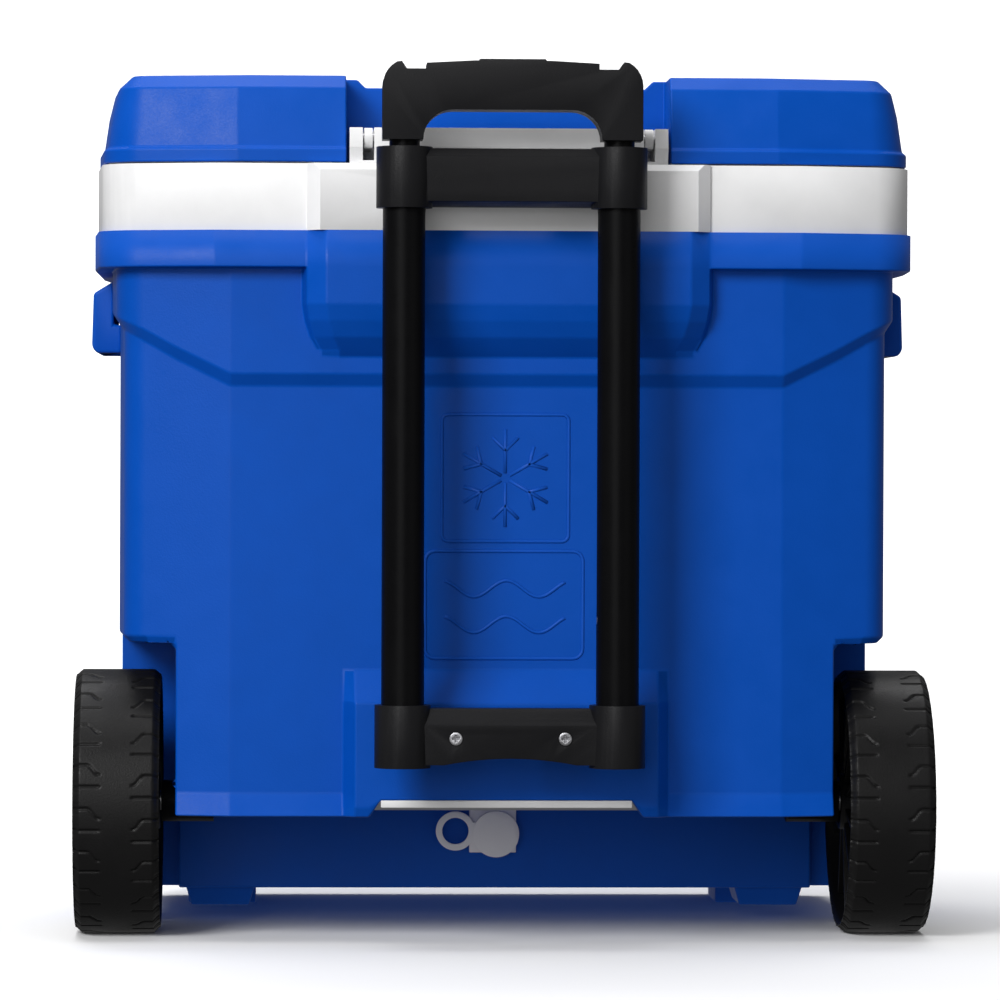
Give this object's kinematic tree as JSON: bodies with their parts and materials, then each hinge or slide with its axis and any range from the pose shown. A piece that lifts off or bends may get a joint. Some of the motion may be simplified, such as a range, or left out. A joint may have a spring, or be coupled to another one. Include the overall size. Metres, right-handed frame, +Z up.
{
  "type": "wheeled cooler",
  "caption": "Insulated hard cooler on two wheels with a hinged lid, a telescoping pull handle with a lock button, side grips and a drain stopper.",
  "frame": {"origin": "centre of the bounding box on the floor, under the cooler", "axes": "+Z up; +X to the right seen from the handle side; the handle side faces -Y and the front faces +Y"},
  "size_m": [0.532, 0.468, 0.539],
  "materials": {
    "blue_plastic": "fine moulded grain, satin",
    "white_plastic": "satin",
    "foam": "matt foam",
    "black_plastic": "satin, fine grain",
    "black_tube": "satin powder coat",
    "wheel_plastic": "satin, scuffed",
    "steel": "zinc plated",
    "grey_plastic": "soft satin",
    "seal_rubber": "matt"
  },
  "bodies": {
    "cooler_body": {"outer_shell": "blue_plastic", "inner_liner": "white_plastic", "foam_insulation": "foam", "base_trim_strip": "white_plastic", "front_feet": "blue_plastic", "side_handle_left": "blue_plastic", "side_handle_right": "blue_plastic", "upper_bracket": "black_plastic", "lower_bracket": "black_plastic", "upper_bracket_screws": "steel", "lower_bracket_screws": "steel", "outer_tube_left": "black_tube", "outer_tube_right": "black_tube", "tube_bush_left": "black_plastic", "tube_bush_right": "black_plastic", "axle_rod": "steel", "axle_bearing_left": "black_plastic", "axle_bearing_right": "black_plastic", "axle_push_nuts": "steel", "drain_fitting": "grey_plastic", "drain_gasket": "seal_rubber", "drain_nut": "grey_plastic", "hinge_pin_left": "steel", "hinge_pin_right": "steel"},
    "lid": {"lid_shell": "blue_plastic", "lid_liner": "white_plastic", "lid_foam": "foam", "lid_hinge_left": "white_plastic", "lid_hinge_right": "white_plastic", "lid_hinge_screws": "steel"},
    "handle": {"inner_tube_left": "black_tube", "inner_tube_right": "black_tube", "inner_tube_foot_left": "white_plastic", "inner_tube_foot_right": "white_plastic", "rod_guide_left": "white_plastic", "rod_guide_right": "white_plastic", "grip_rear": "black_plastic", "grip_front": "black_plastic", "grip_screws": "steel", "button_springs": "steel"},
    "button": {"release_button": "black_plastic", "push_rod_left": "steel", "push_rod_right": "steel"},
    "lock_left": {"lock_pin_left": "steel"},
    "lock_right": {"lock_pin_right": "steel"},
    "wheel_left_body": {"wheel_left": "wheel_plastic", "wheel_cap_left": "wheel_plastic"},
    "wheel_right_body": {"wheel_right": "wheel_plastic", "wheel_cap_right": "wheel_plastic"},
    "stopper": {"drain_plug": "grey_plastic"}
  },
  "joints": [
    {"name": "lid_hinge", "type": "hinge", "parent": "cooler_body", "child": "lid", "pos_m": [0, -0.171, 0.494], "axis": [1, 0, 0], "range_deg": [0, 90]},
    {"name": "handle_slide", "type": "slide", "parent": "cooler_body", "child": "handle", "axis": [0, 0, 1], "range_m": [0, 0.245]},
    {"name": "button_press", "type": "slide", "parent": "handle", "child": "button", "axis": [0, 0, -1], "range_m": [0, 0.004], "stiffness_N_per_m": 1200, "springref_m": -0.004, "deforming": ["button_springs"]},
    {"name": "lock_pin_left_slide", "type": "slide", "parent": "handle", "child": "lock_left", "axis": [-1, 0, 0], "range_m": [0, 0.003]},
    {"name": "lock_pin_right_slide", "type": "slide", "parent": "handle", "child": "lock_right", "axis": [1, 0, 0], "range_m": [0, 0.003]},
    {"name": "wheel_left_spin", "type": "hinge", "parent": "cooler_body", "child": "wheel_left_body", "pos_m": [-0.2395, -0.084, 0.0825], "axis": [1, 0, 0], "continuous": true},
    {"name": "wheel_right_spin", "type": "hinge", "parent": "cooler_body", "child": "wheel_right_body", "pos_m": [0.2395, -0.084, 0.0825], "axis": [1, 0, 0], "continuous": true},
    {"name": "drain_plug_pull", "type": "slide", "parent": "cooler_body", "child": "stopper", "axis": [0, -1, 0], "range_m": [0, 0.024]}
  ],
  "couplings": [
    {"joint": "lock_pin_left_slide", "follows": "button_press", "ratio": 0.75},
    {"joint": "lock_pin_right_slide", "follows": "button_press", "ratio": 0.75}
  ]
}
